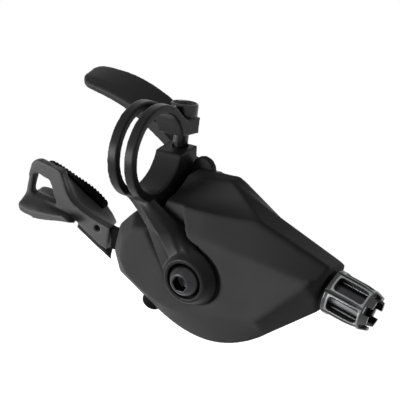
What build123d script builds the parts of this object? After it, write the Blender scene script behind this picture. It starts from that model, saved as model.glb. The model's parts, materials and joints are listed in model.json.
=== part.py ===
"""Trigger gear shifter for a straight handlebar, right-hand side.

Millimetres. The origin is the middle of the handlebar bore. +X runs along the bar towards the
cable adjuster, +Y runs along the lever axle towards the main lever, and +Z is up.
"""
import os
from math import atan2, cos, radians, sin, tan

from build123d import *

# Fits
RUN_FIT = 0.05        # radial clearance of a turning or sliding fit
SEAT_GAP = 0.3        # gap between pieces that pass each other
SCREW_FIT = 0.05      # radial clearance of a screw in its thread

# Handlebar clamp
BAR_R = 11.1
CLAMP_W = 8.4
HOOP_W = 3.0
HOOP_T = 2.3
EAR_REACH = 19.2      # how far the ears stand out along Y
EAR_T = 4.6
SLIT_TOP = 0.9
SLIT_LOW = -4.2
SLOT_FROM = 56.0      # the hoops part company at this angle, from +Y towards +Z
SLOT_TO = 230.0
WEB_FOOT = -18.6      # underside of the web below the bore

# Clamp bolt, square to the sprung-open upper ear
BOLT_TILT = 12.0
BOLT_Y = 16.2
BOLT_R = 2.1
BOLT_HEAD_R = 3.9
BOLT_HEAD_H = 3.6
BOLT_THREAD = 9.0     # thread length in the lower lug
BOLT_HEX = 4.0

# Lever axle, along Y
AXLE_X = 18.8
AXLE_Z = -29.8
AXLE_R = 4.0
AXLE_END_R = 3.0      # threaded far end

# Depths along Y
NEAR_FACE = -7.5
NEAR_WALL = 4.1       # thick enough for the bracket screw to pull on
MID_PLANE = 0.0       # the case is fullest here
BACK_PLANE = 10.0     # far edge of the top face
PART_PLANE = 15.0     # the far cover meets the case here
COVER_T = 3.6
CABLE_Y = 2.5

# Case
BAR_ROOM = 1.4        # clear space between the bar and the case
CASE_TOP = -8.0
SHELF_Z = -19.4       # shelf under the clamp
ROOM_GAP = 0.6        # clear space round the mechanism
FLANK_ROUND = 2.5     # where the near flank meets the sides
FACE_ROUND = 1.5      # round the near face

# Bracket arm and its screw
BOSS_R = 6.3
BOSS_BASE_R = 8.6
BOSS_FRONT = -11.5
BOSS_BACK = -7.8
POCKET_DEPTH = 0.6    # the boss stands in a shallow pocket in the near face
ARM_GAP = 0.8
SCREW_R = 2.5
SCREW_HEAD_R = 4.75
SCREW_HEAD_H = 3.7
SCREW_SEAT = -9.7
SCREW_HEX = 4.0
SCREW_REACH = 7.0     # thread length inside the axle
HEAD_POCKET = 0.35

# Release lever
RELEASE_NEAR = 8.0    # near face of its plate
RELEASE_T = 3.2
RELEASE_HUB_R = 10.8
TONGUE_T = 2.4        # the part inside the case
TONGUE_STEP = 0.9     # it lies behind the arm's near face
THUMB_NEAR = 8.4
THUMB_MID = 14.0
THUMB_FAR = 19.0
WING_NEAR = 3.0
WING_FAR = 17.0
PAD_NEAR = 16.2
PAD_T = 1.2
PAD_START = 0.05      # the pad's ends, as shares of the thumb face's length
PAD_END = 0.8
RIB_COUNT = 18
ARM_HOLE_R = 0.95
SLOT_ROOM = 0.3       # clear space each side of the tongue in its slot

# Base plate
BASE_T = 1.2
BASE_NEAR = -3.2
BASE_R = 8.0
COLLAR_R = 5.6
COLLAR_LENGTH = 3.6

# Cable spool and its two ratchets
TOOTH_COUNT = 30
TOOTH_TIP_R = 11.6
TOOTH_DEPTH = 1.1
RATCHET_T = 1.6
DRUM_T = 3.0
DRUM_RIM = 0.4        # the drum stands proud of the teeth
CABLE_DEPTH = 1.0     # cable centre line below the drum's rim
CABLE_GROOVE_R = 0.8
SPOOL_NEAR = -0.6
SPOOL_WALL = 1.1      # between the spring cup and the tooth roots
SPOOL_CUP_DEPTH = 2.8
SPRING_TURNS = 3

# Pawls
PAWL_PIN_R = 1.5
PAWL_EYE_R = 2.6
HOLD_PIN_ANGLE = 240.0
HOLD_TIP_ANGLE = 288.0
DRIVE_PIN_ANGLE = 296.0
DRIVE_TIP_ANGLE = 336.0
LEVER_SWING = 36.0    # the main lever's stroke
LEG_SPREAD = 24.0     # a pawl spring's leg along its pawl
LEG_SWING = 16.0      # and its other leg

# Drive plate and main lever
DRIVE_T = 1.4
SLEEVE_R = 6.0
SLEEVE_FLAT = 4.9
LEVER_NEAR = 20.0
LEVER_T = 3.0
LEVER_HUB_R = 9.0
PADDLE_CREST = 23.0
PADDLE_FAR = 31.0
NEAR_TIP_ROUND = 4.0
FAR_TIP_ROUND = 2.6
BUSH_T = 1.4
NUT_T = 3.2
NUT_AF = 10.0
WASHER_T = 0.8

# Cable adjuster
ADJUSTER_TILT = 14.5
ADJUSTER_X = 56.6
ADJUSTER_LENGTH = 13.6
BARREL_R = 6.2
BARREL_TIP_R = 4.9
CORE_R = 3.9
HOUSING_R = 2.6
HOUSING_DEPTH = 9.0
CABLE_HOLE_R = 0.9
WINDOW_COUNT = 6
WINDOW_W = 3.6
NOTCH_W = 2.2
NOTCH_DEPTH = 1.8

# Cover screws
COVER_SCREW_R = 1.1
COVER_HEAD_R = 2.1
COVER_HEAD_H = 1.3
COVER_SCREW_LENGTH = 3.4
COVER_SCREWS = [(-5.0, -33.0), (38.0, -42.4), (11.6, -12.4)]

# Cable port
PORT_X = 0.2
PORT_Z = -45.6
PORT_Y = 2.4
PORT_R = 3.0
PORT_RISE = 2.6
PORT_TILT = 29.0
PORT_SEAT = 1.6

# Small fittings
SPRING_WIRE = 0.6
COIL_R = 2.1          # torsion springs of the pawls
COIL_W = 1.1
LEVER_SPRING_W = 2.6
BASE_SCREW_HEAD = 0.9
BASE_SCREW_LENGTH = 2.0
PAWL_TIP_GAP = 0.2
PAWL_TIP_EASE = 0.6
COVER_EASE = 0.94     # the cover's rim draws in to this share
PEG_R = 1.3
PEG_X = 35.6
TAIL_X = 33.0         # end of the release lever's tail
GUARD_X = 8.0
GUARD_Z = -9.4
GUARD_R = 3.5
GUARD_T = 2.4
SCREW_RIM_R = 2.7
NOSE_GAP = 1.2
SEAL_W = 0.9
CORE_SEAT = 8.0
WINDOW_FROM = 2.2
WINDOW_TO = 10.4

# Worked-out values
TOOTH_ROOT_R = TOOTH_TIP_R - TOOTH_DEPTH
DRUM_R = TOOTH_TIP_R + DRUM_RIM
CABLE_R = DRUM_R - CABLE_DEPTH
SPOOL_CUP_R = TOOTH_ROOT_R - SPOOL_WALL
PAWL_ARM_R = DRUM_R + PAWL_EYE_R
PAWL_SWEEP_R = PAWL_ARM_R + PAWL_EYE_R + ROOM_GAP
HOOP_R = BAR_R + HOOP_T
HOOP_GAP = CLAMP_W - 2 * HOOP_W
BAR_SCOOP_R = BAR_R + BAR_ROOM
INNER_NEAR = NEAR_FACE + NEAR_WALL
POCKET_FLOOR = NEAR_FACE + POCKET_DEPTH
COVER_FAR = PART_PLANE + COVER_T
TONGUE_NEAR = RELEASE_NEAR + TONGUE_STEP
TONGUE_FAR = TONGUE_NEAR + TONGUE_T
LEVER_SPRING_NEAR = TONGUE_FAR + SEAT_GAP
BASE_FAR = BASE_NEAR + BASE_T
DRUM_NEAR = SPOOL_NEAR + RATCHET_T
DRUM_FAR = DRUM_NEAR + DRUM_T
SPOOL_FAR = DRUM_FAR + RATCHET_T
DRIVE_NEAR = SPOOL_FAR + SEAT_GAP
DRIVE_FAR = DRIVE_NEAR + DRIVE_T
BUSH_NEAR = DRIVE_FAR + SEAT_GAP
LEVER_FAR = LEVER_NEAR + LEVER_T
WASHER_NEAR = LEVER_FAR + RUN_FIT
NUT_NEAR = WASHER_NEAR + WASHER_T
AXLE_FAR = NUT_NEAR + NUT_T
TOOTH_PITCH = 360.0 / TOOTH_COUNT
COIL_NEAR = DRUM_FAR - COIL_W - SEAT_GAP
BUSH_R = SLEEVE_R + RUN_FIT + BUSH_T
# The cable leaves the drum at a tangent, so the adjuster's height follows from the drum
ADJUSTER_Z = (
    AXLE_Z + CABLE_R / cos(radians(ADJUSTER_TILT)) - tan(radians(ADJUSTER_TILT)) * (ADJUSTER_X - AXLE_X)
)
# Bolt seat: the upper ear's top face, measured along the bolt from the lower lug
EAR_SLOPE = tan(radians(BOLT_TILT))
EAR_RISE = EAR_T / cos(radians(BOLT_TILT))
BOLT_SEAT = (
    (BAR_R - BOLT_Y) * sin(radians(BOLT_TILT)) + (SLIT_TOP + EAR_RISE - SLIT_LOW) * cos(radians(BOLT_TILT))
)


def depth(y):
    """Sketch plane square to the axle at depth y: sketch x is X and sketch y is Z."""
    return Plane.XZ.offset(-y)


def on_axle(radius, angle):
    """Point at a radius and an angle round the axle, seen from the near side."""
    return (AXLE_X + radius * cos(radians(angle)), AXLE_Z + radius * sin(radians(angle)))


def adjuster_plane(along):
    """Sketch plane square to the adjuster's axis, a distance out from the nose."""
    axis = Vector(cos(radians(ADJUSTER_TILT)), 0, -sin(radians(ADJUSTER_TILT)))
    origin = Vector(ADJUSTER_X, CABLE_Y, ADJUSTER_Z) + axis * along
    return Plane(origin=origin, x_dir=(0, 1, 0), z_dir=axis)


# Clamp bolt axis, leaning out from the lower lug
bolt_plane = Plane(
    origin=(0, BOLT_Y, SLIT_LOW),
    x_dir=(1, 0, 0),
    z_dir=(0, sin(radians(BOLT_TILT)), cos(radians(BOLT_TILT))),
)

# Cable port axis, square to the belly
port_plane = Plane(
    origin=(PORT_X, PORT_Y, PORT_Z),
    x_dir=(0, 1, 0),
    z_dir=(-sin(radians(PORT_TILT)), 0, -cos(radians(PORT_TILT))),
)

axle_axis = Axis((AXLE_X, 0, AXLE_Z), (0, 1, 0))
adjuster_axis = Axis(adjuster_plane(0).origin, adjuster_plane(0).z_dir)
adjuster_section = Plane(
    origin=adjuster_plane(0).origin, x_dir=adjuster_plane(0).z_dir, z_dir=(0, -1, 0)
)


def sleeve_key(clearance):
    """Section of the main lever's sleeve where the drive plate sits: a round with two flats."""
    with BuildSketch(Plane.XY) as sketch:
        Circle(SLEEVE_R + clearance)
        Rectangle(3 * SLEEVE_R, 2 * (SLEEVE_FLAT + clearance), mode=Mode.INTERSECT)
    return sketch.sketch


# The arm's direction from the clamp to the boss, in the XZ plane
arm_angle = atan2(AXLE_Z - WEB_FOOT, AXLE_X - CLAMP_W / 4)
arm_plane = Plane(
    origin=(AXLE_X, 0, AXLE_Z),
    x_dir=(-sin(arm_angle), 0, cos(arm_angle)),
    z_dir=(cos(arm_angle), 0, sin(arm_angle)),
)

# Bracket: two hoops, ears, web and arm cast in one piece


def ear_line(y, rise):
    """Point on the upper ear's sloping faces."""
    return (y, SLIT_TOP + rise - EAR_SLOPE * (y - BAR_R))


with BuildPart() as clamp_bracket:
    with BuildSketch(Plane.YZ.offset(-CLAMP_W / 2)):
        Circle(HOOP_R)
        with BuildLine():
            Polyline(
                (BAR_R - 2, SLIT_LOW),
                (EAR_REACH - 0.6, SLIT_LOW),
                (EAR_REACH - 0.9, SLIT_LOW - 4),
                (14.4, WEB_FOOT + 2.4),
                (13.0, WEB_FOOT),
                (1.6, WEB_FOOT),
                (-5.4, -HOOP_R + 1.3),
                (0, -BAR_R),
                close=True,
            )
        make_face()
        with BuildLine():
            Polyline(
                ear_line(BAR_R - 1.5, 0),
                ear_line(EAR_REACH, 0),
                ear_line(EAR_REACH + EAR_T * EAR_SLOPE, EAR_RISE),
                ear_line(BAR_R + 2.6, EAR_RISE),
                (HOOP_R * cos(radians(SLOT_FROM)), HOOP_R * sin(radians(SLOT_FROM))),
                (BAR_R * cos(radians(SLOT_FROM)), BAR_R * sin(radians(SLOT_FROM))),
                close=True,
            )
        make_face()
        with BuildLine():
            Polyline(
                (BAR_R / 2, SLIT_LOW),
                (EAR_REACH + 4, SLIT_LOW),
                ear_line(EAR_REACH + 4, 0),
                ear_line(BAR_R / 2, 0),
                close=True,
            )
        make_face(mode=Mode.SUBTRACT)
        Circle(BAR_R, mode=Mode.SUBTRACT)
    extrude(amount=CLAMP_W)
    with BuildSketch(Plane.YZ.offset(-HOOP_GAP / 2)):
        with BuildLine():
            fan = [(0, 0)]
            for share in (0, 0.25, 0.5, 0.75, 1):
                angle = radians(SLOT_FROM + (SLOT_TO - SLOT_FROM) * share)
                fan.append((2 * HOOP_R * cos(angle), 2 * HOOP_R * sin(angle)))
            Polyline(*fan, close=True)
        make_face()
    extrude(amount=HOOP_GAP, mode=Mode.SUBTRACT)
    # Arm: three sections, from under the bore to the boss
    with BuildSketch(Plane.XY.offset(-BAR_R - HOOP_T / 2)):
        with BuildLine():
            Polyline(
                (-CLAMP_W / 2, -5.0), (CLAMP_W * 0.3, -5.8), (CLAMP_W / 2, -5.6),
                (CLAMP_W / 2, -3.0), (-CLAMP_W / 2, -3.0), close=True,
            )
        make_face()
    with BuildSketch(Plane.XY.offset(WEB_FOOT)):
        with BuildLine():
            Polyline(
                (4.4, BOSS_BACK), (8.6, BOSS_BACK - 1.4), (13.0, BOSS_BACK - 0.6),
                (16.0, BOSS_BACK + 4.8), (9.0, BOSS_BACK + 4.8), close=True,
            )
        make_face()
    with BuildSketch(arm_plane):
        with BuildLine():
            Polyline(
                (-BOSS_BASE_R, -BOSS_BACK), (-BOSS_R, -BOSS_FRONT), (BOSS_R, -BOSS_FRONT),
                (BOSS_BASE_R, -BOSS_BACK), (BOSS_R * 0.6, -BOSS_BACK), close=True,
            )
        make_face()
    loft(ruled=True)
    # Boss round the screw, and its foot on the case
    with BuildSketch(depth(BOSS_BACK)):
        with Locations((AXLE_X, AXLE_Z)):
            Circle(BOSS_BASE_R)
    with BuildSketch(depth(BOSS_FRONT)):
        with Locations((AXLE_X, AXLE_Z)):
            Circle(BOSS_R)
    loft()
    with BuildSketch(depth(POCKET_FLOOR)):
        with Locations((AXLE_X, AXLE_Z)):
            Circle(BOSS_R)
    extrude(amount=POCKET_FLOOR - BOSS_BACK)
    # Screw seat, screw hole and bolt holes
    with BuildSketch(depth(SCREW_SEAT)):
        with Locations((AXLE_X, AXLE_Z)):
            Circle(SCREW_HEAD_R + HEAD_POCKET)
    extrude(amount=12, mode=Mode.SUBTRACT)
    with BuildSketch(depth(0)):
        with Locations((AXLE_X, AXLE_Z)):
            Circle(SCREW_R + SCREW_FIT)
    extrude(amount=20, mode=Mode.SUBTRACT)
    with BuildSketch(bolt_plane.offset(-BOLT_THREAD - 1)):
        Circle(BOLT_R + SCREW_FIT)
    extrude(amount=BOLT_THREAD + 30, mode=Mode.SUBTRACT)
clamp_bracket.part.label = "clamp_bracket"


# Case: near face and mid outline joined by the flanks, then straight back to the far cover
mid_outline = [
    (-11.6, -32.6), (-9.4, -24.2), (-4.6, SHELF_Z), (5.2, SHELF_Z), (7.2, CASE_TOP - 0.8),
    (20.0, CASE_TOP), (35.2, -12.4), (59.0, -20.8), (56.0, -32.8), (37.7, -45.9),
]
mid_belly = [(37.7, -45.9), (29.5, -50.8), (20.0, -53.1), (10.8, -51.6), (3.6, -48.0), (-9.8, -39.0)]
near_outline = [
    (-4.8, -30.5), (-3.6, -24.5), (-0.6, -20.4), (5.0, -19.6), (9.0, -18.2),
    (20.6, -18.0), (34.2, -20.1), (54.4, -22.6), (54.0, -23.6), (38.7, -38.4),
]
back_outline = [
    (-15.4, -37.0), (-13.2, -28.4), (-6.6, -21.0), (5.2, SHELF_Z), (7.2, CASE_TOP - 0.8),
    (21.0, CASE_TOP), (35.4, -14.4), (59.0, -24.8), (56.0, -32.8), (37.7, -45.9),
]
back_belly = [(37.7, -45.9), (29.5, -50.8), (20.0, -53.1), (10.4, -52.4), (1.4, -50.2), (-13.4, -43.8)]
far_outline = [
    (-14.6, -37.0), (-12.6, -28.8), (-6.2, -21.4), (5.2, SHELF_Z), (7.2, CASE_TOP - 0.8),
    (20.6, CASE_TOP - 0.2), (36.0, -19.6), (59.0, -29.6), (56.0, -33.4), (37.7, -45.9),
]
near_belly = [(38.7, -38.4), (29.0, -39.9), (19.0, -41.4), (9.5, -41.0), (3.0, -38.6), (-3.0, -34.4)]


def case_outline(points, belly):
    """Closed outline: straight runs over the top and one smooth curve along the belly."""
    with BuildSketch(Plane.XY) as sketch:
        with BuildLine():
            Polyline(*points)
            Spline(*belly)
            Line(belly[-1], points[0])
        make_face()
    return sketch.sketch


# Plane that trims the far side of the nose
nose_trim = Plane(origin=(43.0, PART_PLANE, 0), z_dir=(0.344, 0.939, 0))

# Slot that the release lever's tongue swings in
lever_slot = [(-24.0, -27.4), (AXLE_X, AXLE_Z + SLEEVE_R), (AXLE_X, AXLE_Z - SLEEVE_R), (-24.0, -47.0)]
SPOOL_ROOM_NEAR = SPOOL_NEAR - SEAT_GAP
BASE_POSTS = [(33.4, -34.6), (26.0, -38.4)]
POST_R = 2.6
hold_pin_spot = on_axle(PAWL_ARM_R, HOLD_PIN_ANGLE)
drive_pin_spot = on_axle(PAWL_ARM_R, DRIVE_PIN_ANGLE)


def pie(radius, start, end):
    """Slice of a disc round the axle between two angles."""
    with BuildSketch(Plane.XY) as sketch:
        with BuildLine():
            ThreePointArc(on_axle(radius, start), on_axle(radius, (start + end) / 2), on_axle(radius, end))
            Polyline(on_axle(radius, end), (AXLE_X, AXLE_Z), on_axle(radius, start))
        make_face()
    return sketch.sketch


def eared_disc(radius, ears, ear_r):
    """Disc round the axle with rounded ears."""
    with BuildSketch(Plane.XY) as sketch:
        for ear in ears:
            with BuildSketch(mode=Mode.PRIVATE) as lobe:
                with Locations((AXLE_X, AXLE_Z)):
                    Circle(radius)
                with Locations(ear):
                    Circle(ear_r)
                make_hull()
            add(lobe.sketch)
    return sketch.sketch


with BuildPart() as main_case:
    with BuildSketch(depth(NEAR_FACE)):
        add(case_outline(near_outline, near_belly))
    with BuildSketch(depth(MID_PLANE)):
        add(case_outline(mid_outline, mid_belly))
    with BuildSketch(depth(BACK_PLANE)):
        add(case_outline(back_outline, back_belly))
    with BuildSketch(depth(PART_PLANE)):
        add(case_outline(far_outline, back_belly))
    loft(ruled=True)
    split(bisect_by=nose_trim, keep=Keep.BOTTOM)
    split(bisect_by=adjuster_plane(-NOSE_GAP), keep=Keep.BOTTOM)
    flank_edges = edges().filter_by_position(Axis.Y, MID_PLANE - 0.1, MID_PLANE + 0.1)
    step_edges = flank_edges.filter_by_position(Axis.X, mid_outline[2][0], mid_outline[4][0])
    fillet(flank_edges.filter_by(lambda edge: edge not in step_edges), FLANK_ROUND)
    fillet(faces().sort_by(Axis.Y)[0].edges(), FACE_ROUND)
    # Bar clearance along the top
    with BuildSketch(Plane.YZ.offset(-20)):
        Circle(BAR_SCOOP_R)
    extrude(amount=90, mode=Mode.SUBTRACT)
    # Pocket that the bracket arm lies in
    with BuildSketch(Plane.XY.offset(-BAR_R)):
        with BuildLine():
            Polyline(
                (-6.0, -20.0), (12.0, -20.0), (12.0, BOSS_BACK + 5.6), (6.0, BOSS_BACK + 5.6),
                (-6.0, POCKET_FLOOR), close=True,
            )
        make_face()
    with BuildSketch(Plane.XY.offset(WEB_FOOT - ARM_GAP)):
        with BuildLine():
            Polyline(
                (3.2, -20.0), (17.6, -20.0), (17.6, BOSS_BACK + 5.6), (8.2, BOSS_BACK + 5.6),
                (3.2, POCKET_FLOOR), close=True,
            )
        make_face()
    with BuildSketch(arm_plane):
        with BuildLine():
            Polyline(
                (-BOSS_BASE_R - ARM_GAP, 20.0), (BOSS_BASE_R + ARM_GAP, 20.0),
                (BOSS_BASE_R + ARM_GAP, -POCKET_FLOOR), (BOSS_R * 0.6, -POCKET_FLOOR),
                (-BOSS_BASE_R - ARM_GAP, -POCKET_FLOOR), close=True,
            )
        make_face()
    loft(ruled=True, mode=Mode.SUBTRACT)
    with BuildSketch(depth(POCKET_FLOOR)):
        with Locations((AXLE_X, AXLE_Z)):
            Circle(BOSS_BASE_R + ARM_GAP)
    extrude(amount=2 * POCKET_DEPTH, mode=Mode.SUBTRACT)
    # Rooms for the base plate, the spool with its pawls and the release lever, and posts for the plate
    with BuildSketch(depth(SPOOL_ROOM_NEAR)):
        add(eared_disc(BASE_R + ROOM_GAP, (hold_pin_spot, *BASE_POSTS), PAWL_EYE_R + ROOM_GAP))
        add(pie(PAWL_ARM_R + ROOM_GAP, HOLD_PIN_ANGLE - LEG_SWING, HOLD_PIN_ANGLE + LEG_SPREAD + LEG_SWING))
    extrude(amount=SPOOL_ROOM_NEAR - INNER_NEAR, mode=Mode.SUBTRACT)
    with BuildSketch(depth(PART_PLANE)):
        with Locations((AXLE_X, AXLE_Z)):
            Circle(DRUM_R + ROOM_GAP)
        with Locations((PEG_X, AXLE_Z)):
            Circle(PEG_R + SPRING_WIRE + 2 * SEAT_GAP + ROOM_GAP)
        add(pie(PAWL_SWEEP_R, HOLD_PIN_ANGLE - LEG_SWING, DRIVE_TIP_ANGLE + LEVER_SWING + TOOTH_PITCH))
    extrude(amount=PART_PLANE - SPOOL_ROOM_NEAR, mode=Mode.SUBTRACT)
    with BuildSketch(depth(TONGUE_FAR + SLOT_ROOM)):
        with BuildLine():
            Polyline(*lever_slot, close=True)
        make_face()
    extrude(amount=TONGUE_T + 2 * SLOT_ROOM, mode=Mode.SUBTRACT)
    with BuildSketch(depth(BASE_NEAR)):
        with Locations(*BASE_POSTS):
            Circle(POST_R)
    extrude(amount=BASE_NEAR - INNER_NEAR + 0.2)
    # Screw hole, cable way and adjuster seat
    with BuildSketch(depth(0)):
        with Locations((AXLE_X, AXLE_Z)):
            Circle(SCREW_R + SCREW_FIT)
    extrude(amount=20, mode=Mode.SUBTRACT)
    with BuildSketch(adjuster_plane(5)):
        Circle(CABLE_HOLE_R)
    extrude(amount=-35, mode=Mode.SUBTRACT)
    with BuildSketch(adjuster_plane(5)):
        Circle(CORE_R + RUN_FIT)
    extrude(amount=-15, mode=Mode.SUBTRACT)
    # Screw holes for the far cover and the base plate, and the cable port
    with BuildSketch(depth(PART_PLANE)):
        with Locations(*COVER_SCREWS):
            Circle(COVER_SCREW_R + SCREW_FIT)
    extrude(amount=COVER_SCREW_LENGTH, mode=Mode.SUBTRACT)
    with BuildSketch(depth(BASE_NEAR)):
        with Locations(*BASE_POSTS):
            Circle(COVER_SCREW_R + SCREW_FIT)
    extrude(amount=BASE_SCREW_LENGTH + SEAT_GAP, mode=Mode.SUBTRACT)
    with BuildSketch(port_plane.offset(-PORT_SEAT)):
        Circle(PORT_R + SCREW_FIT)
    extrude(amount=10, mode=Mode.SUBTRACT)
main_case.part.label = "main_case"

# Far cover
cover_outline = [
    (-13.2, -36.8), (-11.2, -29.2), (-5.2, -22.4), (6.4, -21.0), (8.6, -10.8),
    (20.0, -10.2), (34.6, -20.6), (41.0, -24.4), (41.0, -40.4), (36.4, -44.6),
]
cover_belly = [(36.4, -44.6), (28.9, -49.2), (20.0, -51.4), (10.8, -50.6), (2.0, -48.4), (-12.0, -42.6)]


def eased(points, share):
    """Points drawn in towards the axle."""
    return [(AXLE_X + share * (x - AXLE_X), AXLE_Z + share * (z - AXLE_Z)) for x, z in points]


with BuildPart() as far_cover:
    for y, share in ((PART_PLANE, 1), (PART_PLANE + COVER_T * 0.6, 1), (COVER_FAR, COVER_EASE)):
        with BuildSketch(depth(y)):
            add(case_outline(eased(cover_outline, share), eased(cover_belly, share)))
    loft(ruled=True)
    with BuildSketch(depth(PART_PLANE + GUARD_T)):
        with Locations((GUARD_X, GUARD_Z)):
            Circle(GUARD_R)
    extrude(amount=GUARD_T)
    with BuildSketch(depth(PART_PLANE)):
        with Locations((PEG_X, AXLE_Z)):
            Circle(PEG_R)
    extrude(amount=PART_PLANE - TONGUE_NEAR)
    with BuildSketch(depth(COVER_FAR)):
        with Locations((AXLE_X, AXLE_Z)):
            Circle(BUSH_R + SCREW_FIT)
        with Locations(*COVER_SCREWS):
            Circle(COVER_SCREW_R + SEAT_GAP)
    extrude(amount=COVER_T, mode=Mode.SUBTRACT)
    with BuildSketch(depth(COVER_FAR)):
        with Locations(*COVER_SCREWS):
            Circle(COVER_HEAD_R + SEAT_GAP)
    extrude(amount=COVER_HEAD_H, mode=Mode.SUBTRACT)
far_cover.part.label = "far_cover"


def screw_group(spots, seat, head_r, head_h, length, drive):
    """Flat-headed screws along Y with their heads on the far side of a seat."""
    with BuildPart() as group:
        with BuildSketch(depth(seat + head_h)):
            with Locations(*spots):
                Circle(head_r)
        extrude(amount=head_h)
        with BuildSketch(depth(seat)):
            with Locations(*spots):
                Circle(COVER_SCREW_R)
        extrude(amount=length)
        with BuildSketch(depth(seat + head_h)):
            with Locations(*spots):
                RegularPolygon(drive, 6)
        extrude(amount=head_h / 2, mode=Mode.SUBTRACT)
    return group


cover_screws = screw_group(
    COVER_SCREWS, COVER_FAR - COVER_HEAD_H, COVER_HEAD_R, COVER_HEAD_H,
    COVER_T - COVER_HEAD_H + COVER_SCREW_LENGTH - SEAT_GAP, COVER_SCREW_R,
)
cover_screws.part.label = "cover_screws"
base_screws = screw_group(
    BASE_POSTS, BASE_FAR, COVER_HEAD_R - 0.4, BASE_SCREW_HEAD, BASE_T + BASE_SCREW_LENGTH,
    COVER_SCREW_R * 0.8,
)
base_screws.part.label = "base_screws"

# Cable port plug
with BuildPart() as cable_port_plug:
    with BuildSketch(port_plane.offset(-PORT_SEAT)):
        Circle(PORT_R)
    extrude(amount=PORT_SEAT + PORT_RISE)
    fillet(faces().sort_by(Axis.Z)[0].edges(), PORT_R * 0.45)
cable_port_plug.part.label = "cable_port_plug"

# Clamp bolt
with BuildPart() as clamp_bolt:
    with BuildSketch(bolt_plane.offset(-BOLT_THREAD)):
        Circle(BOLT_R)
    extrude(amount=BOLT_THREAD + BOLT_SEAT)
    with BuildSketch(bolt_plane.offset(BOLT_SEAT)):
        Circle(BOLT_HEAD_R)
    extrude(amount=BOLT_HEAD_H)
    top_face = faces().sort_by(Axis.Z)[-1]
    fillet(top_face.edges(), BOLT_HEAD_R * 0.14)
    with BuildSketch(bolt_plane.offset(BOLT_SEAT + BOLT_HEAD_H)):
        RegularPolygon(BOLT_HEX / 2, 6, major_radius=False)
    extrude(amount=-BOLT_HEAD_H * 0.7, mode=Mode.SUBTRACT)
clamp_bolt.part.label = "clamp_bolt"

# Button-head screw that holds the bracket to the axle
with BuildPart() as bracket_screw:
    with BuildSketch(Plane(origin=(AXLE_X, SCREW_SEAT, AXLE_Z), x_dir=(1, 0, 0), z_dir=(0, 0, 1))):
        with BuildLine():
            Line((0, 0), (SCREW_HEAD_R, 0))
            Line((SCREW_HEAD_R, 0), (SCREW_HEAD_R, -0.7))
            ThreePointArc(
                (SCREW_HEAD_R, -0.7),
                (SCREW_HEAD_R * 0.85, -0.62 * SCREW_HEAD_H),
                (SCREW_RIM_R, -SCREW_HEAD_H),
            )
            Line((SCREW_RIM_R, -SCREW_HEAD_H), (0, -SCREW_HEAD_H))
            Line((0, -SCREW_HEAD_H), (0, 0))
        make_face()
    revolve(axis=axle_axis)
    with BuildSketch(depth(INNER_NEAR + SCREW_REACH)):
        with Locations((AXLE_X, AXLE_Z)):
            Circle(SCREW_R)
    extrude(amount=INNER_NEAR + SCREW_REACH - SCREW_SEAT)
    with BuildSketch(depth(SCREW_SEAT - SCREW_HEAD_H)):
        with Locations((AXLE_X, AXLE_Z)):
            RegularPolygon(SCREW_HEX / 2, 6, major_radius=False)
    extrude(amount=-SCREW_HEAD_H * 0.75, mode=Mode.SUBTRACT)
bracket_screw.part.label = "bracket_screw"

# Lever axle, drilled for the bracket screw and threaded at its far end
with BuildPart() as lever_axle:
    with BuildSketch(depth(LEVER_FAR)):
        with Locations((AXLE_X, AXLE_Z)):
            Circle(AXLE_R)
    extrude(amount=LEVER_FAR - INNER_NEAR)
    with BuildSketch(depth(AXLE_FAR + 1)):
        with Locations((AXLE_X, AXLE_Z)):
            Circle(AXLE_END_R)
    extrude(amount=AXLE_FAR + 1 - LEVER_FAR)
    with BuildSketch(depth(INNER_NEAR + SCREW_REACH + 1)):
        with Locations((AXLE_X, AXLE_Z)):
            Circle(SCREW_R + SCREW_FIT)
    extrude(amount=SCREW_REACH + 1, mode=Mode.SUBTRACT)
lever_axle.part.label = "lever_axle"

# Base plate with a collar round the axle and ears for its screws and the hold pawl
with BuildPart() as base_plate:
    with BuildSketch(depth(BASE_FAR)):
        add(eared_disc(BASE_R, (hold_pin_spot, *BASE_POSTS), PAWL_EYE_R))
    extrude(amount=BASE_T)
    with BuildSketch(depth(BASE_FAR + COLLAR_LENGTH)):
        with Locations((AXLE_X, AXLE_Z)):
            Circle(COLLAR_R)
    extrude(amount=COLLAR_LENGTH)
    with BuildSketch(depth(BASE_FAR + COLLAR_LENGTH)):
        with Locations((AXLE_X, AXLE_Z)):
            Circle(AXLE_R + SCREW_FIT)
        with Locations(hold_pin_spot):
            Circle(PAWL_PIN_R + SCREW_FIT)
        with Locations(*BASE_POSTS):
            Circle(COVER_SCREW_R + SEAT_GAP)
    extrude(amount=COLLAR_LENGTH + BASE_T, mode=Mode.SUBTRACT)
base_plate.part.label = "base_plate"


def ratchet_points():
    """Saw-tooth outline that lets the spool wind but not run back."""
    points = []
    for tooth in range(TOOTH_COUNT):
        points.append(on_axle(TOOTH_TIP_R, tooth * TOOTH_PITCH))
        points.append(on_axle(TOOTH_ROOT_R, (tooth + 1) * TOOTH_PITCH))
    return points


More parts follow.
